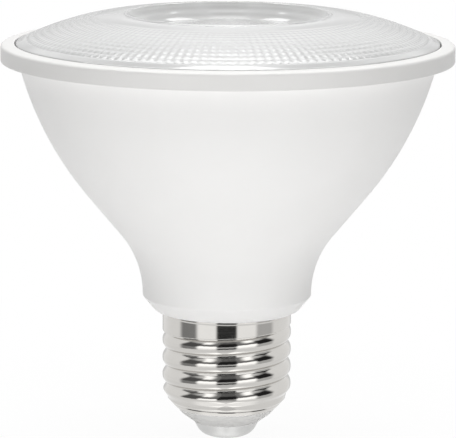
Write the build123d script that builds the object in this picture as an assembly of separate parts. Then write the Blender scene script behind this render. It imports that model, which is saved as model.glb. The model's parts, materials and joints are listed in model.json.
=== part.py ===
from build123d import *
import math
import os

# A short-neck reflector lamp on a medium screw base, standing on its contact with the lens up.
# Lengths are millimetres, +Z is the lamp's axis from the contact to the lens, and the origin is the
# tip of the centre contact. Sections are drawn in the XZ plane as (radius, height) and turned about Z.

# Screw shell, a rolled sheet with a rounded right-hand thread
thread_crest_radius = 13.2
thread_depth = 0.66
thread_pitch = 3.629
thread_height = 15.3
thread_start_angle = 58.7
thread_rise_turns = 0.63
thread_fade_turns = 0.4
shell_wall = 0.35
shell_end_step = 1.1
collar_height = 3.22
lip_width = 1.45
lip_height = 1.65
sections_per_turn = 12

# Contact and insulator
contact_radius = 6.75
contact_height = 3.1
contact_band = 0.95
contact_taper = 0.5
contact_tip_radius = 3.4
contact_bulge = 0.5
rivet_radius = 1.7
rivet_head_radius = 2.8
rivet_head_height = 0.8
insulator_height = 3.25
insulator_wall = 1.8
insulator_knee_run = 2.45
insulator_knee_rise = 1.75

# Housing
neck_radius = 17.25
neck_band = 0.15
neck_fillet = 19.9
cone_angle = 39.6
bowl_radius = 69.0
rim_flange_width = 1.7
housing_height = 51.53
housing_wall = 2.0
shoulder_overhang = 1.48
chamfer_height = 3.1
spigot_wall = 1.6
spigot_gap = 2.2
rim_flange_thickness = 1.25
guide_length = 1.6
guide_thickness = 1.0

# Front ring
bezel_radius = 45.85
bezel_wall = 1.65
bezel_lip_width = 2.8
bezel_lip_thickness = 0.8
bezel_lip_fall = 0.33
bezel_round = 0.5

# Lens
lens_gap = 0.2
lens_flange_thickness = 1.0
lens_margin_rise = 1.35
dome_rise = 5.25
dome_knee_radius = 31.0
well_radius = 20.4
well_depth = 3.0
well_wall_run = 3.0
well_floor_crown = 0.7
well_lip_round = 1.0
pipe_top_gap = 2.85
pipe_bulge = 3.5
pipe_foot_wall = 1.7
pipe_foot_gap = 0.9
cavity_radius = 6.9
cavity_draft = 0.7
cavity_height = 9.0
cavity_crown = 2.2
gasket_thickness = 0.5
gasket_width = 3.0

# Light engine
sink_wall = 1.5
sink_height = 30.0
platform_thickness = 2.2
pad_thickness = 0.5
led_board_radius = 15.0
led_board_thickness = 1.6
led_carrier_side = 12.0
led_carrier_thickness = 1.0
phosphor_radius = 4.6
phosphor_thickness = 0.5
screw_count = 3
screw_circle = 11.5
screw_radius = 1.25
screw_head_radius = 2.3
screw_head_height = 1.5
screw_slot_width = 0.6
screw_slot_depth = 0.6

# Driver
driver_thickness = 1.6
driver_top_gap = 0.8
driver_low_gap = 1.0
core_width = 13.0
core_depth = 6.0
core_height = 11.4
core_leg = 2.0
core_centre_leg = 4.0
coil_build = 2.0
coil_foot = 1.2
bulk_radius = 5.0
bulk_length = 11.0
output_radius = 4.0
output_length = 9.5
capacitor_spacing = 10.8
component_gap = 0.3
film_width = 9.5
film_depth = 4.5
film_height = 9.0
film_rise = 3.6
fuse_radius = 1.7
fuse_length = 9.0
fuse_rise = 3.2
fuse_offset = 4.2
bridge_side = 4.8
bridge_thickness = 2.4
bridge_rise = 3.8
chip_width = 5.0
chip_height = 3.9
chip_thickness = 1.5
chip_rise = 10.6
chip_offset = 4.2
lead_radius = 0.65
lead_bend = 1.4
led_lead_gap = 0.9
led_lead_run = 3.1
line_lead_radius = 0.5
neutral_lead_radius = 0.4
neutral_lead_start = 6.0

# Clearances
press_clearance = 0.15
seat_clearance = 0.05
slide_clearance = 0.25

# Radii that follow from the sizes above
thread_root_radius = thread_crest_radius - thread_depth
shell_end_radius = thread_crest_radius - shell_end_step
lip_radius = shell_end_radius - lip_width
spigot_radius = thread_root_radius - shell_wall - press_clearance
spigot_bore = spigot_radius - spigot_wall
shoulder_radius = thread_crest_radius + shoulder_overhang
neck_bore = neck_radius - housing_wall
rim_flange_radius = bezel_radius - bezel_wall - press_clearance
rim_radius = rim_flange_radius - rim_flange_width
bezel_lip_radius = bezel_radius - bezel_lip_width
sink_inset = housing_wall + press_clearance
led_lead_end = led_carrier_side / 2 + led_lead_gap
led_lead_reach = led_lead_end + led_lead_run

# Heights that follow from the sizes above
lip_level = contact_height + insulator_height
thread_low = lip_level + lip_height
thread_top = thread_low + thread_height
shoulder_level = thread_top + collar_height
spigot_low = thread_low + spigot_gap
neck_low = shoulder_level + chamfer_height
neck_top = neck_low + neck_band
bore_foot = shoulder_level + housing_wall
bore_slope = (neck_top - bore_foot) / (neck_bore - spigot_bore)
component_level = neck_top + component_gap
driver_low = spigot_low + driver_low_gap
driver_top = component_level + max(core_height, bulk_length, output_length) + component_gap
platform_low = driver_top + driver_top_gap
platform_level = platform_low + platform_thickness
led_board_low = platform_level + pad_thickness
led_board_top = led_board_low + led_board_thickness
led_carrier_top = led_board_top + led_carrier_thickness
phosphor_top = led_carrier_top + phosphor_thickness
rim_level = shoulder_level + housing_height
flange_top = rim_level + rim_flange_thickness
gasket_top = flange_top + gasket_thickness
lens_flange_top = gasket_top + lens_flange_thickness
bezel_lip_low = lens_flange_top + seat_clearance

# The bowl: neck fillet, straight cone and a large arc that ends at the rim
cone_turn = math.radians(cone_angle)
cone_way = (math.sin(cone_turn), math.cos(cone_turn))
cone_start = (neck_radius + neck_fillet * (1 - cone_way[1]), neck_top + neck_fillet * cone_way[0])
rim_step = (rim_radius - cone_start[0], rim_level - cone_start[1])
rim_along = rim_step[0] * cone_way[0] + rim_step[1] * cone_way[1]
rim_across = rim_step[1] * cone_way[0] - rim_step[0] * cone_way[1]
bowl_turn = math.acos(1 - rim_across / bowl_radius)
cone_length = rim_along - bowl_radius * math.sin(bowl_turn)


def turned(*edges):
    """Solid of revolution about Z of the section that these edges close."""
    return revolve(Plane.XZ * make_face(Wire(list(edges))), Axis.Z)


def turned_points(*points):
    """Solid of revolution about Z of a section with straight sides."""
    return revolve(Plane.XZ * make_face(Polyline(*points, close=True)), Axis.Z)


def upright_cylinder(radius, low, high, x=0, y=0):
    return Pos(x, y, low) * Cylinder(radius, high - low, align=(Align.CENTER, Align.CENTER, Align.MIN))


def upright_box(width, depth, low, high, x=0, y=0):
    return Pos(x, y, low) * Box(width, depth, high - low, align=(Align.CENTER, Align.CENTER, Align.MIN))


def bowed(start, end, bulge):
    """Parabola from start to end that stands off the middle of its chord by bulge, to the left."""
    chord = Vector(end) - Vector(start)
    side = Vector(-chord.Y, chord.X).normalized()
    return Bezier(start, Vector(start) + chord / 2 + side * 2 * bulge, end)


def crowned(vertex, end):
    """Parabola from its vertex on the axis, where it is level, to the end."""
    return Bezier(vertex, (end.X / 2, vertex.Y), end)


def bowl_edges(inset):
    """Outline of the bowl, moved in by inset, from the top of the neck band to the rim."""
    way = Vector(*cone_way)
    fillet_arc = JernArc((neck_radius - inset, neck_top), (0, 1), neck_fillet + inset, -cone_angle)
    cone_end = fillet_arc @ 1 + way * cone_length
    cone = Line(fillet_arc @ 1, cone_end)
    knee = cone_end + way * (bowl_radius - inset) * math.tan(bowl_turn / 2)
    rim_way = Vector(math.sin(cone_turn - bowl_turn), math.cos(cone_turn - bowl_turn))
    rim = knee + rim_way * (bowl_radius - inset) * math.tan(bowl_turn / 2)
    bowl_arc = Bezier(cone_end, knee, rim, weights=[1, math.cos(bowl_turn / 2), 1])
    return [fillet_arc, cone, bowl_arc]


def bowl_section(inset):
    """Section from the axis out to the bowl's outline moved in by inset."""
    edges = bowl_edges(inset)
    low = edges[0] @ 0
    high = edges[-1] @ 1
    sides = Polyline(high, (0, high.Y), (0, low.Y), low)
    return make_face(Wire([*edges, *sides.edges()]))


def band(low, high):
    """Section between two heights, from the axis to beyond the lamp."""
    return Pos(0, low) * Rectangle(bezel_radius, high - low, align=(Align.MIN, Align.MIN))


def thread_surface(inset):
    """Rounded thread between its two plain ends: a circle that runs off-centre round the axis."""
    amplitude = thread_depth / 2
    turns = thread_height / thread_pitch
    steps = round(turns * sections_per_turn)
    rings = []
    for step in range(steps + 1):
        share = step / steps
        from_low = min(1, share * turns / thread_rise_turns)
        from_top = min(1, (1 - share) * turns / thread_fade_turns)
        fade_low = from_low ** 2 * (3 - 2 * from_low)
        fade_top = from_top ** 2 * (3 - 2 * from_top)
        level = thread_low + share * thread_height
        turn = math.radians(thread_start_angle) + 2 * math.pi * share * turns
        throw = amplitude * fade_low * fade_top
        reach = shell_end_radius + (thread_crest_radius - shell_end_radius) * fade_low
        ring = Pos(throw * math.cos(turn), throw * math.sin(turn), level) * Circle(reach - throw - inset)
        rings.append(ring)
    return loft(rings).faces().filter_by(GeomType.PLANE, reverse=True)


def make_screw_shell():
    def wall(inset):
        low = Plane.XY.offset(lip_level) * Circle(lip_radius - inset)
        end = Plane.XY.offset(thread_low) * Circle(shell_end_radius - inset)
        cone = loft([low, end]).faces().filter_by(GeomType.CONE)
        top = Plane.XY.offset(thread_top) * Circle(thread_crest_radius - inset)
        collar = extrude(top, collar_height).faces().filter_by(GeomType.CYLINDER)
        return [*cone, *thread_surface(inset), *collar]

    low_ring = Plane.XY.offset(lip_level) * (Circle(lip_radius) - Circle(lip_radius - shell_wall))
    top_radius = thread_crest_radius
    top_ring = Plane.XY.offset(shoulder_level) * (Circle(top_radius) - Circle(top_radius - shell_wall))
    return Solid(Shell([*wall(0), *wall(shell_wall), *low_ring.faces(), *top_ring.faces()]))


def make_base_insulator():
    """Cone that fills the shell's turned-in end, with a hole for the rivet."""
    lip_inner = lip_radius - shell_wall - seat_clearance
    skirt_radius = shell_end_radius - shell_wall - seat_clearance
    hole = rivet_radius + seat_clearance
    floor = contact_height + insulator_wall
    return turned_points(
        (hole, contact_height),
        (contact_radius, contact_height),
        (contact_radius + insulator_knee_run, contact_height + insulator_knee_rise),
        (lip_radius, lip_level),
        (lip_inner, lip_level),
        (skirt_radius, thread_low),
        (skirt_radius - insulator_wall, thread_low),
        (contact_radius - insulator_wall, floor),
        (hole, floor),
    )


def make_centre_contact():
    """Button with a rounded flank and a flat tip, riveted through the insulator."""
    head_low = contact_height + insulator_wall
    head_top = head_low + rivet_head_height
    tip = Line((0, 0), (contact_tip_radius, 0))
    flank_top = (contact_radius - contact_taper, contact_height - contact_band)
    flank = bowed((contact_tip_radius, 0), flank_top, -contact_bulge)
    rest = Polyline(
        flank_top,
        (contact_radius, contact_height),
        (rivet_radius, contact_height),
        (rivet_radius, head_low),
        (rivet_head_radius, head_low),
        (rivet_head_radius, head_top),
        (0, head_top),
        (0, 0),
    )
    return turned(tip, flank, *rest.edges())


def make_housing():
    """Bowl, neck, shoulder and hollow spigot in one moulding, with guides for the driver board."""
    outside = bowl_edges(0)
    inside = bowl_edges(housing_wall)
    mouth = inside[-1] @ 1
    neck = Polyline(
        (neck_bore, neck_top),
        (spigot_bore, bore_foot),
        (spigot_bore, spigot_low),
        (spigot_radius, spigot_low),
        (spigot_radius, shoulder_level),
        (shoulder_radius, shoulder_level),
        (neck_radius, neck_low),
        (neck_radius, neck_top),
    )
    flange = Polyline(
        outside[-1] @ 1,
        (rim_flange_radius, rim_level),
        (rim_flange_radius, flange_top),
        (mouth.X, flange_top),
        mouth,
    )
    body = turned(*neck.edges(), *outside, *flange.edges(), *inside)
    guide_y = driver_thickness / 2 + slide_clearance + guide_thickness / 2
    guide_reach = guide_length + spigot_wall / 2
    guide_x = spigot_bore + spigot_wall / 2 - guide_reach / 2
    for x in (-guide_x, guide_x):
        for y in (-guide_y, guide_y):
            body += upright_box(guide_reach, guide_thickness, spigot_low, bore_foot, x, y)
    return body


def make_front_bezel():
    """Ring that drops over the rim flange and holds the lens flange under its lip."""
    bore = rim_flange_radius + press_clearance
    lip_top = bezel_lip_low + bezel_lip_thickness
    ring = turned_points(
        (bore, rim_level),
        (bezel_radius, rim_level),
        (bezel_radius, lip_top - bezel_lip_fall),
        (bezel_lip_radius, lip_top),
        (bezel_lip_radius, bezel_lip_low),
        (bore, bezel_lip_low),
    )
    outer_edges = ring.edges().filter_by(GeomType.CIRCLE).group_by(SortBy.RADIUS)[-1]
    return fillet(outer_edges.sort_by(Axis.Z)[-1], bezel_round)


def make_lens():
    """Optic with its flange under the bezel, a dome with a well, and a light pipe down to the LED."""
    edge_radius = bezel_lip_radius - lens_gap
    flange_radius = rim_flange_radius - press_clearance
    margin = Vector(edge_radius, lens_flange_top + lens_margin_rise)
    crown = Vector(well_radius, margin.Y + dome_rise)
    dome_start = crown + Vector(well_lip_round, 0)
    dome_knee = Vector(dome_knee_radius, crown.Y)
    floor = crown - Vector(well_wall_run, well_depth)
    floor_middle = Vector(0, floor.Y + well_floor_crown)
    wall_top = crown + (floor - crown).normalized() * well_lip_round
    foot_level = led_carrier_top + pipe_foot_gap
    foot = Vector(cavity_radius + pipe_foot_wall, foot_level)
    pipe_top = Vector(rim_radius - housing_wall - pipe_top_gap, gasket_top)
    cavity_top = Vector(cavity_radius - cavity_draft, foot_level + cavity_height)
    cavity_middle = Vector(0, cavity_top.Y - cavity_crown)
    rim = Polyline(
        margin,
        (edge_radius, lens_flange_top),
        (flange_radius, lens_flange_top),
        (flange_radius, gasket_top),
        pipe_top,
    )
    return turned(
        crowned(floor_middle, floor),
        Line(floor, wall_top),
        Bezier(wall_top, crown, dome_start),
        Bezier(dome_start, dome_knee, margin),
        *rim.edges(),
        bowed(pipe_top, foot, pipe_bulge),
        Line(foot, (cavity_radius, foot_level)),
        Line((cavity_radius, foot_level), cavity_top),
        crowned(cavity_middle, cavity_top),
        Line(cavity_middle, floor_middle),
    )


def make_lens_gasket():
    outer = rim_flange_radius - press_clearance
    inner = outer - gasket_width
    return turned_points((inner, flange_top), (outer, flange_top), (outer, gasket_top), (inner, gasket_top))


def screw_places():
    return PolarLocations(screw_circle, screw_count, start_angle=90)


def lead_places():
    """Centres of the lead holes, which are as wide as the leads' bends so that the bends clear them."""
    return [Pos(-led_lead_reach, 0), Pos(led_lead_reach, 0)]


def drilled(body, places, radius):
    for place in places:
        body -= place * Cylinder(radius, 4 * bezel_radius)
    return body


def make_heat_sink():
    """Cup that lies inside the bowl, with a flat platform, screw holes and two holes for leads."""
    sink_top = platform_low + sink_height
    outer = bowl_section(sink_inset) & band(platform_low, sink_top)
    inner = bowl_section(sink_inset + sink_wall) & band(platform_level, sink_top)
    cup = revolve(Plane.XZ * (outer - inner), Axis.Z)
    cup = drilled(cup, screw_places(), screw_radius + seat_clearance)
    return drilled(cup, lead_places(), lead_bend)


def make_disc(low, high):
    """Pad or board with the screw and lead holes of the platform."""
    disc = upright_cylinder(led_board_radius, low, high)
    disc = drilled(disc, screw_places(), screw_radius + slide_clearance)
    return drilled(disc, lead_places(), lead_bend)


def make_led_carrier():
    return upright_box(led_carrier_side, led_carrier_side, led_board_top, led_carrier_top)


def make_led_phosphor():
    return upright_cylinder(phosphor_radius, led_carrier_top, phosphor_top)


def make_board_screws():
    """Slotted pan-head screws that end flush under the platform."""
    head_top = led_board_top + screw_head_height
    shank = upright_cylinder(screw_radius, platform_low, led_board_top)
    head = upright_cylinder(screw_head_radius, led_board_top, head_top)
    slot = upright_box(2 * screw_head_radius, screw_slot_width, head_top - screw_slot_depth, head_top)
    screw = shank + head - slot
    return Compound([place * screw for place in screw_places()])


def make_driver_board():
    """Board with a tongue in the spigot's guides and a wider head in the neck."""
    half_thickness = driver_thickness / 2
    tongue = math.sqrt(spigot_bore ** 2 - half_thickness ** 2) - slide_clearance
    head = math.sqrt(neck_bore ** 2 - half_thickness ** 2) - slide_clearance
    head_low = neck_top + 2 * slide_clearance
    tongue_top = head_low - (head - tongue) * bore_slope
    outline = make_face(Polyline(
        (-tongue, driver_low),
        (tongue, driver_low),
        (tongue, tongue_top),
        (head, head_low),
        (head, driver_top),
        (-head, driver_top),
        (-head, head_low),
        (-tongue, tongue_top),
        close=True,
    ))
    return extrude(Plane.XZ * outline, half_thickness, both=True)


def make_transformer_core():
    """Two E-shaped halves as one frame: outer legs, centre leg and two windows."""
    window = (core_width - 2 * core_leg - core_centre_leg) / 2
    window_x = (core_centre_leg + window) / 2
    high = component_level + core_height
    y = transformer_y()
    frame = upright_box(core_width, core_depth, component_level, high, 0, y)
    for x in (-window_x, window_x):
        frame -= upright_box(window, 2 * core_depth, component_level + core_leg, high - core_leg, x, y)
    return frame


def transformer_y():
    return -(driver_thickness / 2 + coil_foot + coil_build + core_depth / 2)


def make_transformer_coil():
    """Bobbin and winding round the centre leg, with a foot on the driver board."""
    low = component_level + core_leg + seat_clearance
    high = component_level + core_height - core_leg - seat_clearance
    bore = core_centre_leg + 2 * seat_clearance
    width = core_centre_leg + 2 * coil_build
    depth = core_depth + 2 * coil_build
    y = transformer_y()
    coil = upright_box(width, depth, low, high, 0, y)
    coil = fillet(coil.edges().filter_by(Axis.Z), coil_build / 2)
    coil -= upright_box(bore, core_depth + 2 * seat_clearance, low, high, 0, y)
    foot_y = -(driver_thickness + coil_foot) / 2
    return coil + upright_box(width, coil_foot, low, high, 0, foot_y)


def lying_can(radius, length, x, level):
    """Capacitor or resistor body that lies along the back of the driver board."""
    y = driver_thickness / 2 + seat_clearance + radius
    can = upright_cylinder(radius, level, level + length, x, y)
    return fillet(can.edges().filter_by(GeomType.CIRCLE), radius / 8)


def board_block(width, thickness, height, x, level, side):
    """Flat-backed component on one face of the driver board."""
    y = side * (driver_thickness + thickness) / 2
    return upright_box(width, thickness, level, level + height, x, y)


def make_lead(points, radius, bend):
    path = FilletPolyline(*points, radius=bend)
    return sweep(Plane(origin=path @ 0, z_dir=path % 0) * Circle(radius), path)


def make_line_lead():
    """Straight lead from the rivet's head to the foot of the driver board."""
    head_top = contact_height + insulator_wall + rivet_head_height
    return upright_cylinder(line_lead_radius, head_top, driver_low)


def make_neutral_lead():
    """Lead bent under the spigot's end to the shell's wall."""
    level = spigot_low - neutral_lead_radius - press_clearance
    end = thread_root_radius - shell_wall - press_clearance
    points = [
        (-neutral_lead_start, 0, driver_low),
        (-neutral_lead_start, 0, level),
        (-end, 0, level),
    ]
    return make_lead(points, neutral_lead_radius, (driver_low - level) / 2)


def make_led_lead(side):
    """Lead up through the platform and the board, bent in to its pad beside the LED."""
    pad_level = led_board_top + lead_radius + seat_clearance
    points = [
        (side * led_lead_reach, 0, driver_top),
        (side * led_lead_reach, 0, pad_level),
        (side * led_lead_end, 0, pad_level),
    ]
    return make_lead(points, lead_radius, lead_bend)


bridge_level = spigot_low + bridge_rise
chip_level = spigot_low + chip_rise
fuse_level = spigot_low + fuse_rise

nodes = {
    "screw_shell": make_screw_shell(),
    "base_insulator": make_base_insulator(),
    "centre_contact": make_centre_contact(),
    "housing": make_housing(),
    "front_bezel": make_front_bezel(),
    "lens": make_lens(),
    "lens_gasket": make_lens_gasket(),
    "heat_sink": make_heat_sink(),
    "thermal_pad": make_disc(platform_level, led_board_low),
    "led_board": make_disc(led_board_low, led_board_top),
    "led_carrier": make_led_carrier(),
    "led_phosphor": make_led_phosphor(),
    "board_screws": make_board_screws(),
    "driver_board": make_driver_board(),
    "transformer_core": make_transformer_core(),
    "transformer_coil": make_transformer_coil(),
    "bulk_capacitor": lying_can(bulk_radius, bulk_length, -capacitor_spacing / 2, component_level),
    "output_capacitor": lying_can(output_radius, output_length, capacitor_spacing / 2, component_level),
    "film_capacitor": board_block(film_width, film_depth, film_height, 0, spigot_low + film_rise, -1),
    "bridge_rectifier": board_block(bridge_side, bridge_thickness, bridge_side, chip_offset, bridge_level, 1),
    "controller_chip": board_block(chip_width, chip_thickness, chip_height, chip_offset, chip_level, 1),
    "fuse_resistor": lying_can(fuse_radius, fuse_length, -fuse_offset, fuse_level),
    "line_lead": make_line_lead(),
    "neutral_lead": make_neutral_lead(),
    "positive_lead": make_led_lead(1),
    "negative_lead": make_led_lead(-1),
}

os.makedirs("parts", exist_ok=True)
for name, shape in nodes.items():
    export_step(shape, f"parts/{name}.step")
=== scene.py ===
"""A short-neck reflector lamp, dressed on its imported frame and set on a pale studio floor."""
import json
import math

import bmesh
import bpy
from bpy.props import FloatProperty, FloatVectorProperty, IntProperty, PointerProperty
from mathutils import Matrix, Vector
from mathutils.geometry import interpolate_bezier


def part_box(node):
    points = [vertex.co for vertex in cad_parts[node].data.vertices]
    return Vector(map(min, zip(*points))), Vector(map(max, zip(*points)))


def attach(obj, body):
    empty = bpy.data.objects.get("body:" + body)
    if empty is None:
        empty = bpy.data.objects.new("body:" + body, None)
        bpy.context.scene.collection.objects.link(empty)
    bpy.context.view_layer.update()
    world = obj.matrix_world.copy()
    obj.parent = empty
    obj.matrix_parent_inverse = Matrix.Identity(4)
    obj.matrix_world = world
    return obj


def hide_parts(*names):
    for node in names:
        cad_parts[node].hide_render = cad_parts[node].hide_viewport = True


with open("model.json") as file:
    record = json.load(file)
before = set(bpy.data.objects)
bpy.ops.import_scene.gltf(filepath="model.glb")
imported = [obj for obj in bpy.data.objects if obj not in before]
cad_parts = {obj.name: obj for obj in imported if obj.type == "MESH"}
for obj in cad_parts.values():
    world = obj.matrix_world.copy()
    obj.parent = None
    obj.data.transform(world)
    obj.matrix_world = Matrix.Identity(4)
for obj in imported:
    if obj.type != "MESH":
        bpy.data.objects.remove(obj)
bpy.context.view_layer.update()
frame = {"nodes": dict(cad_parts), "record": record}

bl_info = {
    "name": "Reflector Lamp",
    "version": (1, 0, 0),
    "blender": (4, 5, 0),
    "location": "3D View > Sidebar > Lamp",
    "description": "Builds the visible pieces of a reflector lamp on its packed frame",
    "category": "Add Mesh",
}

MM = 0.001
# Levels between which painted shade makes the housing's plastic greyer and greyer towards its rim.
SHADE_START_LEVEL = 25 * MM
SHADE_FULL_LEVEL = 70 * MM
slots = {part["node"]: part["material_slot"] for part in frame["record"]["subparts"]}


def low_of(node):
    """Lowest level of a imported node."""
    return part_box(node)[0].z


def top_of(node):
    """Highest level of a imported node."""
    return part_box(node)[1].z


def reach_of(node):
    """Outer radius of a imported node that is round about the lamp's axis."""
    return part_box(node)[1].x


def length(name, description, millimetres):
    """Length setting, given in millimetres."""
    return FloatProperty(name=name, description=description, default=millimetres * MM, min=0, unit="LENGTH")


def angle(name, description, degrees):
    """Angle setting, given in degrees."""
    return FloatProperty(name=name, description=description, default=math.radians(degrees), unit="ROTATION")


def count(name, description, whole):
    """Setting for a number of facets or copies."""
    return IntProperty(name=name, description=description, default=whole, min=3)


def number(name, description, value, low=0):
    """Setting for a plain number, such as a share or a number of turns."""
    return FloatProperty(name=name, description=description, default=value, min=low)


def watts(name, description, power):
    """Setting for a light's power."""
    return FloatProperty(name=name, description=description, default=power, min=0, unit="POWER")


def colour(name, description, red, green, blue):
    """Colour setting."""
    return FloatVectorProperty(
        name=name, description=description, default=(red, green, blue), min=0, max=1, subtype="COLOR")


class HousingSettings(bpy.types.PropertyGroup):
    """White moulded bowl with its neck, shoulder and hollow spigot."""
    neck_radius: length("Neck radius", "Outer radius of the plain band at the neck", 17.25)
    neck_band: length("Neck band", "Height of the plain band at the neck", 0.15)
    neck_fillet: length("Neck fillet", "Radius of the sweep from the neck into the cone", 19.9)
    cone_angle: angle("Cone angle", "Angle between the cone and the lamp's axis", 39.6)
    bowl_radius: length("Bowl radius", "Radius of the arc from the cone to the rim", 69)
    rim_radius: length("Rim radius", "Outer radius of the bowl under the front ring", 42.35)
    flange_radius: length("Flange radius", "Radius of the flange inside the front ring", 44.05)
    flange_thickness: length("Flange thickness", "Height of the rim flange", 1.25)
    wall: length("Wall", "Thickness of the moulding", 2)
    shoulder_radius: length("Shoulder radius", "Radius of the shoulder over the screw shell", 14.68)
    chamfer_height: length("Chamfer height", "Height of the chamfer from the shoulder to the neck", 3.1)
    spigot_radius: length("Spigot radius", "Outer radius of the spigot inside the screw shell", 12.04)
    spigot_wall: length("Spigot wall", "Wall of the spigot", 1.6)
    corner: length("Corner", "Rounding of the moulded corners", 0.7)
    around: count("Divisions", "Facets round the axis", 160)
    tint: colour("Colour", "Colour of the moulded plastic", 0.94, 0.935, 0.925)
    # Painted shade: how much greyer the plastic is painted towards the rim.
    thin: number("Thin rim", "How much greyer the plastic looks towards its thin rim", 0.13)


class RingSettings(bpy.types.PropertyGroup):
    """White ring that holds the optic down."""
    wall: length("Wall", "Thickness of the upright wall", 1.65)
    lip_width: length("Lip width", "Width of the lip over the optic", 2.8)
    lip_thickness: length("Lip thickness", "Thickness of the lip", 0.8)
    lip_fall: length("Lip fall", "Drop of the lip towards the outside", 0.33)
    outer_round: length("Outer round", "Rounding of the upper outer edge", 0.5)
    inner_round: length("Inner round", "Rounding of the lip's inner edge", 0.25)
    foot_round: length("Foot round", "Rounding of the lower outer edge", 0.2)
    around: count("Divisions", "Facets round the axis", 192)
    # Painted shade: the housing's white plastic in a darker tint, for the shade on the ring's upright wall.
    tint: colour("Colour", "Colour of the moulded plastic", 0.68, 0.675, 0.665)


class OpticSettings(bpy.types.PropertyGroup):
    """Clear moulded optic with its flange, dome, well, pillow field and light pipe."""
    edge_radius: length("Edge radius", "Outer radius of the visible margin", 42.85)
    flange_radius: length("Flange radius", "Radius of the flange under the front ring", 43.9)
    flange_thickness: length("Flange thickness", "Thickness of the flange", 1)
    gasket: length("Gasket", "Thickness of the gasket under the flange", 0.5)
    margin_rise: length("Margin rise", "Height of the margin over the flange", 0.8)
    edge_round: length("Edge round", "Rounding of the margin's edge", 0.3)
    knee_radius: length("Knee radius", "Radius at which the dome bends down", 31)
    well_radius: length("Well radius", "Radius of the well's rim", 20.4)
    well_depth: length("Well depth", "Depth of the well", 3)
    well_run: length("Well run", "Width of the well's sloping wall", 3)
    well_crown: length("Well crown", "Rise of the well's floor to its middle", 0.7)
    well_round: length("Well round", "Rounding of the well's rim", 0.4)
    bead_rise: length("Bead rise", "Height of the bead on the well's rim over the dome", 0.24)
    bead_width: length("Bead width", "Width of the bead on the well's rim", 0.7)
    pipe_radius: length("Pipe radius", "Radius of the light pipe under the dome", 37.5)
    pipe_bulge: length("Pipe bulge", "How far the pipe's side bows out from its chord", 3.5)
    foot_wall: length("Foot wall", "Width of the pipe's foot", 1.7)
    cavity_radius: length("Cavity radius", "Radius of the hollow over the light source", 6.9)
    cavity_draft: length("Cavity draft", "How much the hollow narrows to its top", 0.7)
    cavity_height: length("Cavity height", "Height of the hollow's side", 9)
    cavity_crown: length("Cavity crown", "Depth of the hollow's bowed top", 2.2)
    columns: count("Columns", "Pillow lenses round the dome", 150)
    relief: length("Relief", "Height of a pillow lens in the outermost row", 0.2)
    tint: colour("Colour", "Colour of the clear moulding", 0.545, 0.548, 0.546)
    # Painted light: a paler colour that brightens the well's sloping wall.
    painted_light_wall_tint: colour("Wall colour", "Colour of the well's sloping wall", 0.78, 0.782, 0.778)


class ShellSettings(bpy.types.PropertyGroup):
    """Rolled screw shell with a rounded right-hand thread."""
    crest_radius: length("Crest radius", "Radius over the thread's crests", 13.2)
    thread_depth: length("Thread depth", "Height from root to crest", 0.66)
    pitch: length("Pitch", "Rise of the thread in one turn", 3.629)
    start: angle("Thread start", "Direction of the first crest at the lower end", 58.7)
    rise: number("Rise", "Turns over which the thread comes up", 0.63, 0.1)
    fade: number("Fade", "Turns over which the thread runs out", 0.5, 0.1)
    crest: number("Crest power", "How broad the thread's crests are", 2.6, 1)
    root: number("Root power", "How narrow the thread's roots are", 6, 1)
    step: number("Step", "Half pitches that the last flank takes under the collar", 0.08, 0.01)
    end_radius: length("End radius", "Radius where the thread meets the turned-in end", 12.1)
    lip_radius: length("Lip radius", "Radius of the turned-in end's mouth", 10.65)
    lip_height: length("Lip height", "Height of the turned-in end", 1.65)
    crease: length("Crease", "Depth of the crease over the turned-in end", 0.25)
    collar_height: length("Collar height", "Height of the plain collar", 1.65)
    band_height: length("Band height", "Height of the band at the collar's top", 0.5)
    band_rise: length("Band rise", "How far the band stands out", 0.04)
    wall: length("Wall", "Thickness of the sheet", 0.35)
    around: count("Divisions", "Facets round the axis", 144)
    rings: count("Rings", "Rings in one turn of the thread", 56)
    tint: colour("Colour", "Colour of the plating", 0.63, 0.615, 0.59)


class BaseSettings(bpy.types.PropertyGroup):
    """Insulator cone and centre contact at the lamp's foot."""
    insulator_wall: length("Insulator wall", "Thickness of the insulator", 1.8)
    knee_run: length("Knee run", "Width of the insulator's flatter part beside the contact", 2.45)
    knee_rise: length("Knee rise", "Height of the insulator's flatter part", 1.75)
    knee_round: length("Knee round", "Rounding between the insulator's two slopes", 0.6)
    rivet_radius: length("Rivet radius", "Radius of the contact's rivet", 1.7)
    rivet_head_radius: length("Rivet head radius", "Radius of the rivet's head", 2.8)
    rivet_head_height: length("Rivet head height", "Height of the rivet's head", 0.8)
    contact_radius: length("Contact radius", "Outer radius of the contact button", 6.75)
    contact_band: length("Contact band", "Height of the button's straight band", 0.95)
    contact_taper: length("Contact taper", "How much the band narrows downwards", 0.5)
    contact_bulge: length("Contact bulge", "How far the button's flank bows out", 0.5)
    tip_radius: length("Tip radius", "Radius of the flat tip", 3.4)
    clearance: length("Clearance", "Gap between pieces that seat on each other", 0.05)
    seam: length("Seam", "How far the insulator's edge stands back from the shell's", 0.15)
    around: count("Divisions", "Facets round the axis", 96)
    insulator_tint: colour("Insulator colour", "Colour of the insulator", 0.9, 0.895, 0.88)
    contact_tint: colour("Contact colour", "Colour of the contact", 0.67, 0.67, 0.66)


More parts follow.
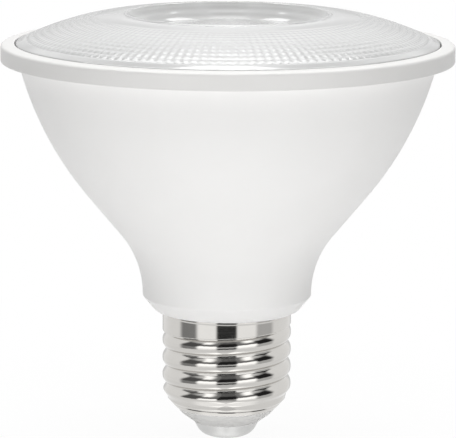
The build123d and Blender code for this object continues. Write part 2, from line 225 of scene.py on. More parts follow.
class StageSettings(bpy.types.PropertyGroup):
    """Camera, floor and studio light."""
    distance: length("Camera distance", "Level distance from the lamp's axis to the camera", 600)
    height: length("Camera height", "Height of the camera over the floor", 157.7)
    aside: length("Camera aside", "Sideways place of the camera", 0.16)
    tilt: angle("Camera tilt", "Angle at which the camera looks down", 10.62)
    roll: angle("Camera roll", "Turn of the camera about its line of sight", 0.252)
    focal_widths: number("Focal length", "Focal length in picture widths", 6.555, 0.1)
    ambient: number("Ambient", "Level of the light from all round", 0.06)
    softbox: watts("Softboxes", "Power of each front softbox", 0.92)
    overhead: watts("Overhead", "Power of the overhead light", 10)
    top_fill: watts("Top fill", "Power of the fill from above", 4.4)


def eased(share):
    """Share from 0 to 1 that starts and ends gently."""
    return share ** 2 * (3 - 2 * share)


def between(share, low, high):
    """Value that lies a share of the way from one value to another."""
    return low + share * (high - low)


class Section:
    """Outline in the XZ plane, drawn from point to point and then turned about the lamp's axis."""

    def __init__(self, radius, level):
        self.mesh = bmesh.new()
        self.first = self.mesh.verts.new((radius, 0, level))
        self.last = self.first
        self.corners = []

    def line(self, radius, level, corner=0):
        """Edge to a point, whose corner may be rounded."""
        point = self.mesh.verts.new((radius, 0, level))
        self.mesh.edges.new((self.last, point))
        self.last = point
        if corner:
            self.corners.append((point, corner))

    def arc(self, centre, turn, steps):
        """Arc about a centre; a positive turn goes to the left."""
        made = bmesh.ops.spin(
            self.mesh, geom=[self.last], cent=(centre[0], 0, centre[1]), axis=(0, -1, 0),
            angle=turn, steps=steps)
        self.last = next(item for item in made["geom_last"] if isinstance(item, bmesh.types.BMVert))

    def bow(self, knee, end, steps, corner=0):
        """Parabola to an end point, with the knee where its two end tangents meet."""
        start = Vector((self.last.co.x, self.last.co.z))
        knee = Vector(knee)
        end = Vector(end)
        points = interpolate_bezier(start, start.lerp(knee, 2 / 3), end.lerp(knee, 2 / 3), end, steps + 1)
        for point in points[1:-1]:
            self.line(point.x, point.y)
        self.line(*end, corner)

    def close(self):
        """Edge back to the first point."""
        self.mesh.edges.new((self.last, self.first))

    def turned(self, around):
        """Rounds the marked corners and turns the outline into a skin."""
        self.swept(math.tau, around)
        return joined(self.mesh)

    def swept(self, turn, steps):
        """Rounds the marked corners and swings the outline through a part of a turn."""
        for corner, size in self.corners:
            bmesh.ops.bevel(
                self.mesh, geom=[corner], offset=size, offset_type="OFFSET", affect="VERTICES",
                segments=4, profile=0.5, material=-1)
        outline = self.mesh.verts[:] + self.mesh.edges[:]
        bmesh.ops.spin(
            self.mesh, geom=outline, cent=(0, 0, 0), axis=(0, 0, 1), angle=turn, steps=steps,
            use_merge=turn == math.tau)
        return self.mesh


def joined(mesh):
    """Merges a mesh's seams and points its faces outwards."""
    bmesh.ops.remove_doubles(mesh, verts=mesh.verts[:], dist=0.002 * MM)
    bmesh.ops.recalc_face_normals(mesh, faces=mesh.faces[:])
    return mesh


def repeated(mesh, copies):
    """Fills the turn with copies of one wedge; the copies are copied in turn, so few steps make many."""
    made = 1
    share = 2
    while made < copies:
        if copies // made % share:
            share += 1
            continue
        geom = mesh.verts[:] + mesh.edges[:] + mesh.faces[:]
        bmesh.ops.spin(
            mesh, geom=geom, cent=(0, 0, 0), axis=(0, 0, 1), angle=math.tau * made * (share - 1) / copies,
            steps=share - 1, use_duplicate=True)
        made *= share
    joined(mesh)


def add_piece(name, mesh, node, finish, sharp=math.radians(32)):
    """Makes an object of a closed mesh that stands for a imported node; edges over an angle are sharp."""
    if not mesh.faces:
        raise RuntimeError(f"{name} has no faces")
    if any(not edge.is_manifold for edge in mesh.edges):
        raise RuntimeError(f"{name} is not closed")
    data = bpy.data.meshes.new(name)
    mesh.to_mesh(data)
    mesh.free()
    data.shade_smooth()
    data.set_sharp_from_angle(angle=sharp)
    data.materials.append(finish)
    piece = bpy.data.objects.new(name, data)
    bpy.context.scene.collection.objects.link(piece)
    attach(piece, "root")
    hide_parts(node)


class Flow:
    """An output socket in a material; sums written with it add Math nodes."""

    def __init__(self, tree, socket=None):
        self.tree = tree
        self.socket = socket

    def node(self, kind, settings=None, inputs=None, output=0):
        """Adds any node: its settings first, then the values or flows of its sockets."""
        made = self.tree.nodes.new(kind)
        for name, value in (settings or {}).items():
            setattr(made, name, value)
        for key, value in (inputs or {}).items():
            if isinstance(value, Flow):
                self.tree.links.new(value.socket, made.inputs[key])
            else:
                made.inputs[key].default_value = value
        return Flow(self.tree, made.outputs[output] if made.outputs else None)

    def math(self, operation, first, second=0.0):
        """Adds a Math node."""
        return self.node("ShaderNodeMath", {"operation": operation}, {0: first, 1: second})

    def __add__(self, other):
        return self.math("ADD", self, other)

    def __radd__(self, other):
        return self.math("ADD", other, self)

    def __sub__(self, other):
        return self.math("SUBTRACT", self, other)

    def __rsub__(self, other):
        return self.math("SUBTRACT", other, self)

    def __mul__(self, other):
        return self.math("MULTIPLY", self, other)

    def __rmul__(self, other):
        return self.math("MULTIPLY", other, self)


def new_finish(name):
    """Empty material and the flow that its nodes are made from."""
    finish = bpy.data.materials.new(name)
    finish.use_nodes = True
    finish.node_tree.nodes.clear()
    return finish, Flow(finish.node_tree)


def place(flow):
    """Object coordinates, in metres."""
    return flow.node("ShaderNodeTexCoord", output="Object")


def noise(flow, size, detail=2.0, stretch=(1, 1, 1)):
    """Noise with patches of about the given size in millimetres, stretched along the axes."""
    scale = tuple(1 / (size * MM * way) for way in stretch)
    at = flow.node("ShaderNodeMapping", {"vector_type": "POINT"}, {"Vector": place(flow), "Scale": scale})
    return flow.node("ShaderNodeTexNoise", {}, {"Vector": at, "Scale": 1.0, "Detail": detail})


def radius_of(flow):
    """Distance from the lamp's axis, in metres."""
    at = flow.node("ShaderNodeVectorMath", {"operation": "MULTIPLY"}, {0: place(flow), 1: (1, 1, 0)})
    return flow.node("ShaderNodeVectorMath", {"operation": "LENGTH"}, {0: at}, output="Value")


def ringed(flow, spacing):
    """Rings round the lamp's axis, from -1 to 1, with a spacing in millimetres."""
    return flow.math("SINE", radius_of(flow) * (math.tau / (spacing * MM)))


def shaded(flow, factor, dark, light):
    """Colour between two shades, which are colours or flows."""
    dark, light = (shade if isinstance(shade, Flow) else (*shade, 1) for shade in (dark, light))
    return flow.node("ShaderNodeMix", {"data_type": "RGBA"}, {0: factor, 6: dark, 7: light}, output=2)


def dimmed(tint, share):
    """Colour at a share of its brightness."""
    return tuple(channel * share for channel in tint)


def bumped(flow, height, depth, strength=1.0):
    """Normal from a height of 0 to 1 that stands for a depth in millimetres."""
    return flow.node("ShaderNodeBump", {}, {"Strength": strength, "Distance": depth * MM, "Height": height})


def coated(flow, finish, **sockets):
    """Ends a material with one principled surface."""
    inputs = {
        name.replace("_", " ").title().replace("Ior", "IOR"): value for name, value in sockets.items()}
    surface = flow.node("ShaderNodeBsdfPrincipled", {}, inputs)
    flow.node("ShaderNodeOutputMaterial", {}, {"Surface": surface})
    return finish


def moulded_plastic(name, tint, roughness=0.4, grain=0.35, thin=0.0):
    """Opaque moulding with spark-eroded grain and slow shifts of gloss and colour; painted shade makes it
    greyer with height, up to a given share at the housing's rim.
    """
    finish, flow = new_finish(name)
    fine = noise(flow, grain, 3)
    slow = noise(flow, 14, 2)
    height = flow.node("ShaderNodeSeparateXYZ", {}, {"Vector": place(flow)}, output="Z")
    # Painted shade: the colour greys with height between the two levels.
    rim = flow.node("ShaderNodeMapRange", {}, {
        "Value": height, "From Min": SHADE_START_LEVEL, "From Max": SHADE_FULL_LEVEL})
    plain_colour = shaded(flow, slow, dimmed(tint, 0.97), tint)
    painted_shade_colour = shaded(flow, slow, dimmed(tint, 0.98 - thin), dimmed(tint, 1.01 - thin))
    return coated(
        flow, finish, base_color=shaded(flow, rim, plain_colour, painted_shade_colour),
        roughness=roughness + 0.08 * (slow - 0.5) + 0.06 * (fine - 0.5),
        specular_ior_level=0.25, normal=bumped(flow, fine, 0.012, 0.5))


def clear_acrylic(name, tint, painted_light_wall_tint, foot, rim):
    """Clear polished moulding with flow waves and tool rings inside the well's rim, and painted light: a
    paler colour on the well's sloping wall.
    """
    finish, flow = new_finish(name)
    waves = noise(flow, 6, 1)
    radius = radius_of(flow)
    inside = flow.math("LESS_THAN", radius, rim)
    rings = ringed(flow, 1.3) * inside
    # Painted light: the well's sloping wall, between its floor and rim, takes the paler colour.
    wall = inside * flow.math("GREATER_THAN", radius, foot)
    return coated(
        flow, finish, base_color=shaded(flow, wall, tint, painted_light_wall_tint), roughness=0.05, ior=1.49,
        transmission_weight=0.22, normal=bumped(flow, 0.25 * waves + 0.5 * rings, 0.04))


def plated_metal(name, tint, roughness=0.08):
    """Bright plating with fine drawing marks round the axis and slow haze."""
    finish, flow = new_finish(name)
    marks = noise(flow, 0.25, 2, (24, 24, 1))
    haze = noise(flow, 5, 3)
    return coated(
        flow, finish, base_color=shaded(flow, haze, dimmed(tint, 0.94), tint), metallic=1.0,
        roughness=roughness + 0.06 * (haze - 0.4) + 0.04 * (marks - 0.5),
        normal=bumped(flow, marks, 0.004, 0.25))


def matt_moulding(name, tint, roughness=0.65):
    """Matt filled moulding with a cloudy surface."""
    finish, flow = new_finish(name)
    cloud = noise(flow, 1.6, 4)
    fine = noise(flow, 0.25, 2)
    return coated(
        flow, finish, base_color=shaded(flow, cloud, dimmed(tint, 0.88), tint),
        roughness=roughness + 0.15 * (cloud - 0.5), normal=bumped(flow, fine, 0.02, 0.5))


def dull_metal(name, tint, roughness=0.36):
    """Tinned or plain metal with turning rings and stains."""
    finish, flow = new_finish(name)
    rings = ringed(flow, 0.35)
    stain = noise(flow, 1.8, 4)
    return coated(
        flow, finish, base_color=shaded(flow, stain, dimmed(tint, 0.82), tint), metallic=1.0,
        roughness=roughness + 0.2 * (stain - 0.5), normal=bumped(flow, rings * 0.5 + 0.5, 0.004, 0.3))


def spun_aluminium(name, tint):
    """Aluminium spun to shape, with rings of the spinning tool."""
    finish, flow = new_finish(name)
    rings = noise(flow, 0.6, 2, (40, 40, 1))
    haze = noise(flow, 9, 3)
    return coated(
        flow, finish, base_color=shaded(flow, haze, dimmed(tint, 0.93), tint), metallic=1.0,
        roughness=0.3 + 0.12 * (rings - 0.5) + 0.1 * (haze - 0.5), normal=bumped(flow, rings, 0.01, 0.3))


def soft_rubber(name, tint):
    """Silicone with a dry, powdery surface."""
    finish, flow = new_finish(name)
    dust = noise(flow, 0.7, 4)
    return coated(
        flow, finish, base_color=shaded(flow, dust, dimmed(tint, 0.9), tint),
        roughness=0.72 + 0.12 * (dust - 0.5), normal=bumped(flow, dust, 0.01, 0.4))


def solder_mask(name, tint):
    """Circuit board with a glossy mask over a fine weave."""
    finish, flow = new_finish(name)
    weave = flow.node(
        "ShaderNodeTexWave", {"wave_type": "BANDS", "bands_direction": "DIAGONAL"},
        {"Vector": place(flow), "Scale": 0.35 / MM, "Distortion": 1.0})
    cloud = noise(flow, 3, 3)
    return coated(
        flow, finish, base_color=shaded(flow, cloud, dimmed(tint, 0.88), tint),
        roughness=0.35 + 0.1 * (cloud - 0.5), normal=bumped(flow, weave, 0.006, 0.3))


def sintered(name, tint, roughness=0.55):
    """Ceramic or ferrite with a grainy sintered surface."""
    finish, flow = new_finish(name)
    grain = noise(flow, 0.3, 4)
    return coated(
        flow, finish, base_color=shaded(flow, grain, dimmed(tint, 0.85), tint),
        roughness=roughness + 0.15 * (grain - 0.5), normal=bumped(flow, grain, 0.015, 0.5))


def cast_phosphor(name, tint):
    """Cast silicone with phosphor grains."""
    finish, flow = new_finish(name)
    grains = noise(flow, 0.18, 2)
    return coated(
        flow, finish, base_color=shaded(flow, grains, dimmed(tint, 0.8), tint),
        roughness=0.45 + 0.1 * (grains - 0.5), normal=bumped(flow, grains, 0.01, 0.4))


def wound_tape(name, tint):
    """Turns of film tape over a winding."""
    finish, flow = new_finish(name)
    turns = flow.node(
        "ShaderNodeTexWave", {"wave_type": "BANDS", "bands_direction": "Z"},
        {"Vector": place(flow), "Scale": 0.12 / MM, "Distortion": 0.6})
    return coated(
        flow, finish, base_color=shaded(flow, turns, dimmed(tint, 0.82), tint),
        roughness=0.28 + 0.1 * turns, normal=bumped(flow, turns, 0.03, 0.4))


def shrunk_film(name, tint, roughness=0.25):
    """Shrunk sleeve, dip or lacquer with an uneven gloss."""
    finish, flow = new_finish(name)
    pull = noise(flow, 2.2, 2, (1, 1, 3))
    return coated(
        flow, finish, base_color=shaded(flow, pull, dimmed(tint, 0.85), tint),
        roughness=roughness + 0.12 * (pull - 0.5), normal=bumped(flow, pull, 0.03, 0.4))


CARRIED_FINISHES = {
    "silicone": soft_rubber,
    "bare_aluminium": spun_aluminium,
    "grey_pad": soft_rubber,
    "white_board": solder_mask,
    "white_ceramic": sintered,
    "phosphor": cast_phosphor,
    "steel": dull_metal,
    "green_board": solder_mask,
    "ferrite": sintered,
    "yellow_tape": wound_tape,
    "dark_sleeve": shrunk_film,
    "red_case": shrunk_film,
    "black_resin": matt_moulding,
    "blue_lacquer": shrunk_film,
    "red_insulation": shrunk_film,
    "black_insulation": shrunk_film,
    "white_insulation": shrunk_film,
}


def dress(nodes):
    """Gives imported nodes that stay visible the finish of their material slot."""
    tints = {part["slot"]: part["base_color"][:3] for part in frame["record"]["materials"]}
    for node in nodes:
        slot = slots[node]
        finish = bpy.data.materials.get(slot) or CARRIED_FINISHES[slot](slot, tints[slot])
        data = frame["nodes"][node].data
        data.materials.clear()
        data.materials.append(finish)


class LAMP_OT_housing(bpy.types.Operator):
    """Turn the white moulded housing"""
    bl_idname = "lamp.housing"
    bl_label = "Housing"

    fillet_steps = 14
    bowl_steps = 18

    def execute(self, context):
        size = context.scene.lamp_housing
        shoulder = top_of("screw_shell")
        spigot_low = low_of("housing")
        flange_top = top_of("housing")
        rim_level = flange_top - size.flange_thickness
        neck_low = shoulder + size.chamfer_height
        neck_top = neck_low + size.neck_band
        turn = size.cone_angle
        way = Vector((math.sin(turn), math.cos(turn)))
        side = Vector((-way.y, way.x))
        fillet_centre = Vector((size.neck_radius + size.neck_fillet, neck_top))
        cone_start = fillet_centre + side * size.neck_fillet
        rim = Vector((size.rim_radius, rim_level))
        rim_step = rim - cone_start
        bowl_turn = math.acos(1 - rim_step.dot(side) / size.bowl_radius)
        cone_end = cone_start + way * (rim_step.dot(way) - size.bowl_radius * math.sin(bowl_turn))
        bowl_centre = cone_end + side * size.bowl_radius
        mouth = bowl_centre + (rim - bowl_centre) * (1 - size.wall / size.bowl_radius)
        inner_cone_end = cone_end + side * size.wall
        spigot_bore = size.spigot_radius - size.spigot_wall
        bore_foot = shoulder + size.wall

        outline = Section(spigot_bore, spigot_low)
        outline.line(size.spigot_radius, spigot_low, size.corner)
        outline.line(size.spigot_radius, shoulder)
        outline.line(size.shoulder_radius, shoulder, size.corner)
        outline.line(size.neck_radius, neck_low, size.corner)
        outline.line(size.neck_radius, neck_top)
        outline.arc(fillet_centre, -turn, self.fillet_steps)
        outline.line(*cone_end)
        outline.arc(bowl_centre, bowl_turn, self.bowl_steps)
        outline.line(size.flange_radius, rim_level)
        outline.line(size.flange_radius, flange_top)
        outline.line(mouth.x, flange_top)
        outline.line(*mouth)
        outline.arc(bowl_centre, -bowl_turn, self.bowl_steps)
        outline.line(*(inner_cone_end - way * (cone_end - cone_start).length))
        outline.arc(fillet_centre, turn, self.fillet_steps)
        outline.line(spigot_bore, bore_foot)
        outline.close()
        finish = moulded_plastic("housing_plastic", size.tint, thin=size.thin)
        add_piece("lamp_housing", outline.turned(size.around), "housing", finish)
        return {"FINISHED"}


class LAMP_OT_front_ring(bpy.types.Operator):
    """Turn the front ring"""
    bl_idname = "lamp.front_ring"
    bl_label = "Front ring"

    def execute(self, context):
        size = context.scene.lamp_ring
        radius = reach_of("front_bezel")
        low = low_of("front_bezel")
        top = top_of("front_bezel")
        bore = radius - size.wall
        lip_radius = radius - size.lip_width
        outline = Section(bore, low)
        outline.line(radius, low, size.foot_round)
        outline.line(radius, top - size.lip_fall, size.outer_round)
        outline.line(lip_radius, top, size.inner_round)
        outline.line(lip_radius, top - size.lip_thickness)
        outline.line(bore, top - size.lip_thickness)
        outline.close()
        # Painted shade: the ring takes a darker tint than the housing's same plastic.
        finish = moulded_plastic("ring_plastic", size.tint, roughness=0.34, grain=0.5)
        add_piece("lamp_front_ring", outline.turned(size.around), "front_bezel", finish)
        return {"FINISHED"}


class LAMP_OT_optic(bpy.types.Operator):
    """Turn the clear optic and raise its pillow lenses"""
    bl_idname = "lamp.optic"
    bl_label = "Optic"

    # The dome is drawn in steps; the pillow field lies between two of them, and each pillow takes a few.
    dome_steps = 64
    row_steps = 4
    first_row = 18
    last_row = 58
    # Height of the first row's pillows as a share of the last row's.
    first_relief = 0.4
    # Height of the knee of the bead's curve, in bead rises.
    bead_knee = 2.5

    def execute(self, context):
        size = context.scene.lamp_optic
        foot_level = low_of("lens")
        crown_level = top_of("lens") - size.bead_rise / 2
        flange_top = low_of("lens_gasket") + size.gasket + size.flange_thickness
        margin_level = flange_top + size.margin_rise
        margin = Vector((size.edge_radius, margin_level))
        crown = Vector((size.well_radius, crown_level))
        dome_start = crown + Vector((size.bead_width, 0))
        dome_knee = Vector((size.knee_radius, crown_level))
        floor = crown - Vector((size.well_run, size.well_depth))
        floor_middle = floor.y + size.well_crown
        wall_top = crown + (floor - crown).normalized() * size.well_round
        pipe_top = Vector((size.pipe_radius, flange_top - size.flange_thickness))
        foot = Vector((size.cavity_radius + size.foot_wall, foot_level))
        chord = foot - pipe_top
        pipe_knee = pipe_top + chord / 2 + Vector((-chord.y, chord.x)).normalized() * 2 * size.pipe_bulge
        cavity_top = Vector((size.cavity_radius - size.cavity_draft, foot_level + size.cavity_height))
        cavity_middle = cavity_top.y - size.cavity_crown

        outline = Section(0, floor_middle)
        outline.bow((floor.x / 2, floor_middle), floor, 10)
        outline.line(*wall_top)
        outline.bow(crown + Vector((0, self.bead_knee * size.bead_rise)), dome_start, 8)
        outline.bow(dome_knee, margin, self.dome_steps, size.edge_round)
        outline.line(size.edge_radius, flange_top)
        outline.line(size.flange_radius, flange_top)
        outline.line(size.flange_radius, pipe_top.y)
        outline.line(*pipe_top)
        outline.bow(pipe_knee, foot, 14)
        outline.line(size.cavity_radius, foot_level)
        outline.line(*cavity_top)
        outline.bow((cavity_top.x / 2, cavity_middle), (0, cavity_middle), 8)
        wedge = math.tau / size.columns
        mesh = outline.swept(wedge, self.row_steps)

        # The dome is a parabola, so its step follows from the radius by a quadratic equation.
        slope = 2 * (dome_knee.x - dome_start.x)
        bend = dome_start.x - 2 * dome_knee.x + margin.x
        for vertex in mesh.verts:
            radius = vertex.co.xy.length
            if vertex.co.z < margin_level or not dome_start.x < radius < margin.x:
                continue
            along = (math.sqrt(slope ** 2 + 4 * bend * (radius - dome_start.x)) - slope) / (2 * bend)
            step = round(along * self.dome_steps)
            if self.first_row <= step <= self.last_row:
                row = step - self.first_row
                column = round(math.atan2(vertex.co.y, vertex.co.x) / wedge * self.row_steps)
                across = 2 * column / self.row_steps - 1
                down = 2 * (row % self.row_steps) / self.row_steps - 1
                relief = size.relief * between(row / (self.last_row - self.first_row), self.first_relief, 1)
                vertex.co.z -= relief * (1 - (1 - across ** 2) * (1 - down ** 2))
        repeated(mesh, size.columns)
        finish = clear_acrylic("optic_acrylic", size.tint, size.painted_light_wall_tint, floor.x, crown.x)
        add_piece("lamp_optic", mesh, "lens", finish)
        return {"FINISHED"}


class LAMP_OT_screw_shell(bpy.types.Operator):
    """Turn the screw shell's sheet, roll the thread into it and give it its thickness"""
    bl_idname = "lamp.screw_shell"
    bl_label = "Screw shell"

    # Where the crease starts, lies deepest and ends on the turned-in end, and its corner in crease depths.
    crease_shares = (0.46, 0.58, 0.68)
    crease_corner = 0.4
    # The band's edge: heights below the top in band heights, and shares of how far the band stands out.
    band_edge = ((1.6, 0), (1.3, 0), (1.1, 1), (0.9, 1), (0, 1))
    # How far the root's curve runs past its depth, so that it is cut off flat.
    root_excess = 1.08
    # Turns before the thread's top end at which the step begins, and turns that it takes to come up.
    step_start = 1.05
    step_run = 0.35
    sharp_edge = math.radians(50)

    def execute(self, context):
        size = context.scene.lamp_shell
        lip_level = low_of("screw_shell")
        top = top_of("screw_shell")
        thread_low = lip_level + size.lip_height
        thread_height = top - size.collar_height - thread_low
        turns = thread_height / size.pitch
        steps = math.floor(turns * size.rings)
        lip = Vector((size.lip_radius, lip_level))
        end = Vector((size.end_radius, thread_low))
        crease_low, crease_middle, crease_top = (lip.lerp(end, share) for share in self.crease_shares)
        outline = Section(*lip)
        outline.line(*crease_low, self.crease_corner * size.crease)
        outline.line(crease_middle.x - size.crease, crease_middle.y)
        outline.line(*crease_top)
        outline.line(*end)
        for step in range(1, steps):
            outline.line(size.crest_radius, thread_low + size.pitch * step / size.rings)
        outline.line(size.crest_radius, top - size.collar_height)
        for below, out in self.band_edge:
            outline.line(size.crest_radius + out * size.band_rise, top - below * size.band_height)
        mesh = outline.turned(size.around)
        for vertex in mesh.verts:
            turn = (vertex.co.z - thread_low) / size.pitch
            if 0.5 / size.rings < turn < turns - 0.5 / size.rings:
                turn += self.slip(size, vertex.co, turn)
                vertex.co.z = thread_low + turn * size.pitch
                vertex.co.xy *= self.thread(size, vertex.co, turn, turns) / vertex.co.xy.length
        bmesh.ops.solidify(mesh, geom=mesh.faces[:], thickness=size.wall)
        finish = plated_metal("shell_nickel", size.tint)
        add_piece("lamp_screw_shell", mesh, "screw_shell", finish, self.sharp_edge)
        return {"FINISHED"}

    def phase(self, size, spot, turn):
        """How far round from the crests' helix a spot lies, in turns; a whole number is on a crest."""
        return (math.atan2(spot.y, spot.x) - size.start) / math.tau - turn

    def slip(self, size, spot, turn):
        """Part of a turn by which a spot moves up to lie on a line that follows the crests."""
        ring = self.phase(size, spot, turn) * size.rings
        return (ring - round(ring)) / size.rings

    def thread(self, size, spot, turn, turns):
        """Radius of the rolled sheet at a spot that is a number of turns up the thread."""
        fade_low = eased(min(1, turn / size.rise))
        fade_top = eased(min(1, (turns - turn) / size.fade))
        reach = between(fade_low, size.end_radius, size.crest_radius)
        phase = self.phase(size, spot, turn)
        offset = 2 * (phase - round(phase))
        across = abs(offset)
        powers = size.crest / size.root
        root = (across ** size.crest - powers * across ** size.root) / (1 - powers)
        root = min(1, self.root_excess * root)
        if offset > 0:
            step = eased(max(0, 1 - (1 - across) / size.step))
            come_up = max(0, turn - turns + self.step_start) / self.step_run
            root = between(min(1, come_up), root, step)
        return reach - size.thread_depth * fade_low * fade_top * root


class LAMP_OT_insulator(bpy.types.Operator):
    """Turn the insulator cone"""
    bl_idname = "lamp.insulator"
    bl_label = "Insulator"

    def execute(self, context):
        size = context.scene.lamp_base
        shell = context.scene.lamp_shell
        contact_top = low_of("base_insulator")
        lip_level = low_of("screw_shell")
        top = top_of("base_insulator")
        hole = size.rivet_radius + size.clearance
        lip_inner = shell.lip_radius - shell.wall - size.clearance
        skirt = shell.end_radius - shell.wall - size.clearance
        floor = contact_top + size.insulator_wall
        outline = Section(hole, contact_top)
        outline.line(size.contact_radius, contact_top)
        outline.line(size.contact_radius + size.knee_run, contact_top + size.knee_rise, size.knee_round)
        outline.line(shell.lip_radius - size.seam, lip_level)
        outline.line(lip_inner, lip_level)
        outline.line(skirt, top)
        outline.line(skirt - size.insulator_wall, top)
        outline.line(size.contact_radius - size.insulator_wall, floor)
        outline.line(hole, floor)
        outline.close()
        finish = matt_moulding("insulator_moulding", size.insulator_tint)
        add_piece("lamp_insulator", outline.turned(size.around), "base_insulator", finish)
        return {"FINISHED"}


class LAMP_OT_contact(bpy.types.Operator):
    """Turn the centre contact"""
    bl_idname = "lamp.contact"
    bl_label = "Centre contact"

    def execute(self, context):
        size = context.scene.lamp_base
        top = low_of("base_insulator")
        head_low = top + size.insulator_wall
        head_top = head_low + size.rivet_head_height
        flank_top = Vector((size.contact_radius - size.contact_taper, top - size.contact_band))
        tip = Vector((size.tip_radius, 0))
        chord = flank_top - tip
        knee = tip + chord / 2 + Vector((chord.y, -chord.x)).normalized() * 2 * size.contact_bulge
        outline = Section(0, 0)
        outline.line(*tip)
        outline.bow(knee, flank_top, 8)
        outline.line(size.contact_radius, top)
        outline.line(size.rivet_radius, top)
        outline.line(size.rivet_radius, head_low)
        outline.line(size.rivet_head_radius, head_low)
        outline.line(size.rivet_head_radius, head_top)
        outline.line(0, head_top)
        finish = dull_metal("contact_tin", size.contact_tint)
        add_piece("lamp_contact", outline.turned(size.around), "centre_contact", finish)
        return {"FINISHED"}


class LAMP_OT_light_engine(bpy.types.Operator):
    """Finish the heat sink, the light source and what holds them"""
    bl_idname = "lamp.light_engine"
    bl_label = "Light engine"

    def execute(self, context):
        dress([
            "lens_gasket", "heat_sink", "thermal_pad", "led_board", "led_carrier", "led_phosphor",
            "board_screws",
        ])
        return {"FINISHED"}


class LAMP_OT_driver(bpy.types.Operator):
    """Finish the driver board, its components and the leads"""
    bl_idname = "lamp.driver"
    bl_label = "Driver"

    def execute(self, context):
        dress([
            "driver_board", "transformer_core", "transformer_coil", "bulk_capacitor", "output_capacitor",
            "film_capacitor", "bridge_rectifier", "controller_chip", "fuse_resistor",
            "line_lead", "neutral_lead", "positive_lead", "negative_lead",
        ])
        return {"FINISHED"}


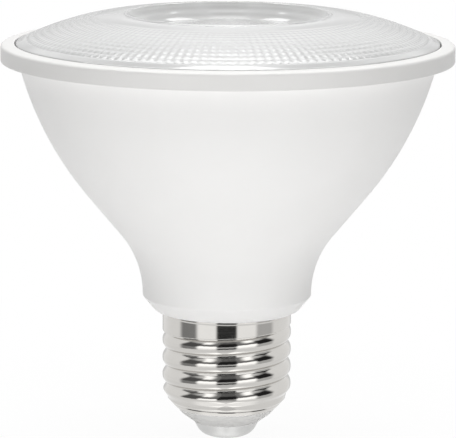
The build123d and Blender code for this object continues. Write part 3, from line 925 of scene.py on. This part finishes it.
class LAMP_OT_stage(bpy.types.Operator):
    """Lay the floor, hang the lights and set up the camera"""
    bl_idname = "lamp.stage"
    bl_label = "Stage"

    # Half the floor's side, and the reach of the lamp's shadow on it, in metres.
    floor_reach = 6
    shadow_reach = 0.14
    # Places and sizes of the lights in metres, and the height on the lamp that they aim at.
    softbox_turn = math.radians(20)
    softbox_distance = 0.65
    softbox_level = 0.09
    softbox_size = (0.4, 0.17)
    overhead_spot = (0, 0.36, 1.0)
    overhead_size = (1.4, 0.36)
    fill_spot = (0, -0.45, 0.95)
    fill_size = (0.7, 0.4)
    aim_level = 0.04

    def execute(self, context):
        stage = context.scene.lamp_stage
        context.scene.view_settings.view_transform = "Standard"
        self.camera(context, stage)
        self.floor(context)
        self.sky(context, stage)
        self.lights(context, stage)
        return {"FINISHED"}

    def camera(self, context, stage):
        """Camera in front of the lamp, tilted down and turned a little about its line of sight."""
        data = bpy.data.cameras.new("camera")
        data.sensor_width = 36
        data.lens = stage.focal_widths * data.sensor_width
        data.clip_end = 20
        camera = bpy.data.objects.new("camera", data)
        camera.location = (stage.aside, -stage.distance, stage.height)
        look = Matrix.Rotation(math.pi / 2 - stage.tilt, 3, "X") @ Matrix.Rotation(stage.roll, 3, "Z")
        camera.rotation_euler = look.to_euler()
        context.scene.collection.objects.link(camera)
        context.scene.camera = camera

    def seen(self, flow):
        """One for camera, mirror and glass rays."""
        kinds = [flow.node("ShaderNodeLightPath", output=f"Is {kind} Ray")
                 for kind in ("Camera", "Glossy", "Transmission")]
        return flow.math("MINIMUM", kinds[0] + kinds[1] + kinds[2], 1.0)

    def floor(self, context):
        """Pale floor that looks white, with a little of the lamp's shadow near its foot."""
        mesh = bmesh.new()
        bmesh.ops.create_grid(mesh, x_segments=1, y_segments=1, size=self.floor_reach)
        data = bpy.data.meshes.new("floor")
        mesh.to_mesh(data)
        mesh.free()
        finish, flow = new_finish("pale_floor")
        speckle = noise(flow, 3, 2)
        matt = flow.node("ShaderNodeBsdfDiffuse", {}, {
            "Color": shaded(flow, speckle, (0.88, 0.88, 0.88), (0.9, 0.9, 0.9))})
        white = flow.node("ShaderNodeEmission", {}, {"Color": (1, 1, 1, 1), "Strength": 1.0})
        away = flow.node("ShaderNodeMapRange", {"interpolation_type": "SMOOTHSTEP"}, {
            "Value": radius_of(flow), "From Max": self.shadow_reach, "To Min": 0.95})
        surface = flow.node("ShaderNodeMixShader", {}, {0: self.seen(flow) * away, 1: matt, 2: white})
        flow.node("ShaderNodeOutputMaterial", {}, {"Surface": surface})
        data.materials.append(finish)
        floor = bpy.data.objects.new("floor", data)
        floor.visible_glossy = False
        context.scene.collection.objects.link(floor)

    def sky(self, context, stage):
        """White to the camera and through glass, a plain level as light and a studio in mirrors."""
        world = bpy.data.worlds.new("studio")
        world.use_nodes = True
        world.node_tree.nodes.clear()
        flow = Flow(world.node_tree)
        seen = self.seen(flow)
        mirrored = flow.node("ShaderNodeLightPath", output="Is Glossy Ray")
        level = seen + (1 - seen) * stage.ambient
        light = flow.node("ShaderNodeBackground", {}, {
            "Color": (1, 1, 1, 1), "Strength": between(mirrored, level, self.studio(flow))})
        flow.node("ShaderNodeOutputWorld", {}, {"Surface": light})
        context.scene.world = world

    def studio(self, flow):
        """Brightness by direction: two boxes ahead, dark between and over them, white and lamps behind."""
        x, y, z = (flow.node("ShaderNodeSeparateXYZ", {}, {
            "Vector": flow.node("ShaderNodeTexCoord", output="Generated")}, output=axis) for axis in "XYZ")
        right = flow.math("GREATER_THAN", x, 0.0)
        turn = flow.math("ABSOLUTE", flow.math("ARCTAN2", x, 0 - y))
        rise = flow.math("ARCSINE", z)

        # Zones round the lamp, from straight ahead on either side: middle, box, wing, and all behind.
        behind = self.from_to(flow, turn, 84, 96)
        wings = self.from_to(flow, turn, 50, 60) - behind
        boxes = self.from_to(flow, turn, 15, 21) - wings - behind
        middle = 1 - boxes - wings - behind
        core = 1 - self.from_to(flow, turn, 24, 44)

        # Zones upwards: steeply down, the front's foot, its lit part, the dark over it and the ceiling.
        steep = 1 - self.from_to(flow, rise, -68, -54)
        front = self.from_to(flow, rise, -18.5, -16)
        lifted = self.from_to(flow, rise, -12.5, -10)
        above = self.from_to(flow, rise - 0.22 * boxes, -2, 3)
        high = self.from_to(flow, rise + 0.1 * boxes, 38, 52)

        # A flag that dims the white low behind the lamp, three lamps over it and one at the zenith.
        flag = self.from_to(flow, turn, 148, 166) * front * (1 - self.from_to(flow, rise, 3, 8))
        back = self.from_to(flow, turn, 135, 160) * self.from_to(flow, rise, 16, 26)
        window = self.from_to(flow, turn, 176, 179.5) * (self.from_to(flow, rise, 7, 9) - back)
        panel = self.from_to(flow, turn, 154, 176) * self.from_to(flow, rise, 32, 44)
        zenith = self.from_to(flow, rise, 71, 81)

        # Brightness of the zones, laid over each other from the table upwards.
        lit_boxes = boxes * (1.2 + 0.5 * lifted)
        lit_wings = wings * (0.28 + 0.3 * right)
        table = 0.95 - 0.2 * middle + steep * (0.3 + 0.5 * boxes)
        wall = lit_boxes + lit_wings + behind + 0.6 * middle * lifted
        dark = behind + 0.02 + 0.12 * lit_boxes + 0.3 * lit_wings * (1 - right)
        ceiling = (0.95 + 0.45 * lit_boxes) * (1 - 0.85 * core)
        level = between(front, table, wall)
        level = between(above, level, dark)
        level = between(high, level, ceiling)
        lamps = 0.9 * back * (1 - high) + 0.35 * window + 2.0 * panel + 3.4 * zenith
        return level * (1 - 0.3 * flag) + lamps

    def from_to(self, flow, value, low, high):
        """Rises from 0 to 1 between two angles in degrees."""
        return flow.node("ShaderNodeMapRange", {"interpolation_type": "SMOOTHSTEP"}, {
            "Value": value, "From Min": math.radians(low), "From Max": math.radians(high)})

    def lights(self, context, stage):
        """Two softboxes in front, one light overhead and a fill; mirrors show only the one overhead."""
        for name, side in (("softbox_left", -1), ("softbox_right", 1)):
            across = side * self.softbox_turn
            spot = Vector((math.sin(across), -math.cos(across), 0)) * self.softbox_distance
            spot.z = self.softbox_level
            self.light(context, name, spot, self.softbox_size, stage.softbox, False)
        self.light(context, "overhead", self.overhead_spot, self.overhead_size, stage.overhead, True)
        self.light(context, "top_fill", self.fill_spot, self.fill_size, stage.top_fill, False)

    def light(self, context, name, spot, size, power, mirrored):
        """Rectangular light that faces the lamp."""
        data = bpy.data.lights.new(name, "AREA")
        data.shape = "RECTANGLE"
        data.size, data.size_y = size
        data.energy = power
        light = bpy.data.objects.new(name, data)
        light.location = spot
        light.visible_glossy = mirrored
        aim = Vector((0, 0, self.aim_level)) - Vector(spot)
        light.rotation_euler = aim.to_track_quat("-Z", "Y").to_euler()
        context.scene.collection.objects.link(light)


class LAMP_PT_pieces(bpy.types.Panel):
    """Lists the lamp's pieces and its stage"""
    bl_idname = "LAMP_PT_pieces"
    bl_label = "Reflector lamp"
    bl_space_type = "VIEW_3D"
    bl_region_type = "UI"
    bl_category = "Lamp"

    def draw(self, context):
        for operator in OPERATORS:
            self.layout.operator(operator.bl_idname)
        for name, settings in SETTINGS.items():
            box = self.layout.box()
            for key in settings.__annotations__:
                box.prop(getattr(context.scene, name), key)


SETTINGS = {
    "lamp_housing": HousingSettings,
    "lamp_ring": RingSettings,
    "lamp_optic": OpticSettings,
    "lamp_shell": ShellSettings,
    "lamp_base": BaseSettings,
    "lamp_stage": StageSettings,
}
OPERATORS = (
    LAMP_OT_housing,
    LAMP_OT_front_ring,
    LAMP_OT_optic,
    LAMP_OT_screw_shell,
    LAMP_OT_insulator,
    LAMP_OT_contact,
    LAMP_OT_light_engine,
    LAMP_OT_driver,
    LAMP_OT_stage,
)


def register():
    for name, group in SETTINGS.items():
        bpy.utils.register_class(group)
        setattr(bpy.types.Scene, name, PointerProperty(type=group))
    for operator in OPERATORS:
        bpy.utils.register_class(operator)
    bpy.utils.register_class(LAMP_PT_pieces)


def unregister():
    bpy.utils.unregister_class(LAMP_PT_pieces)
    for operator in reversed(OPERATORS):
        bpy.utils.unregister_class(operator)
    for name, group in reversed(SETTINGS.items()):
        delattr(bpy.types.Scene, name)
        bpy.utils.unregister_class(group)


def main():
    register()
    bpy.ops.lamp.housing()
    bpy.ops.lamp.front_ring()
    bpy.ops.lamp.optic()
    bpy.ops.lamp.screw_shell()
    bpy.ops.lamp.insulator()
    bpy.ops.lamp.contact()
    bpy.ops.lamp.light_engine()
    bpy.ops.lamp.driver()
    bpy.ops.lamp.stage()


if __name__ == "__main__":
    main()
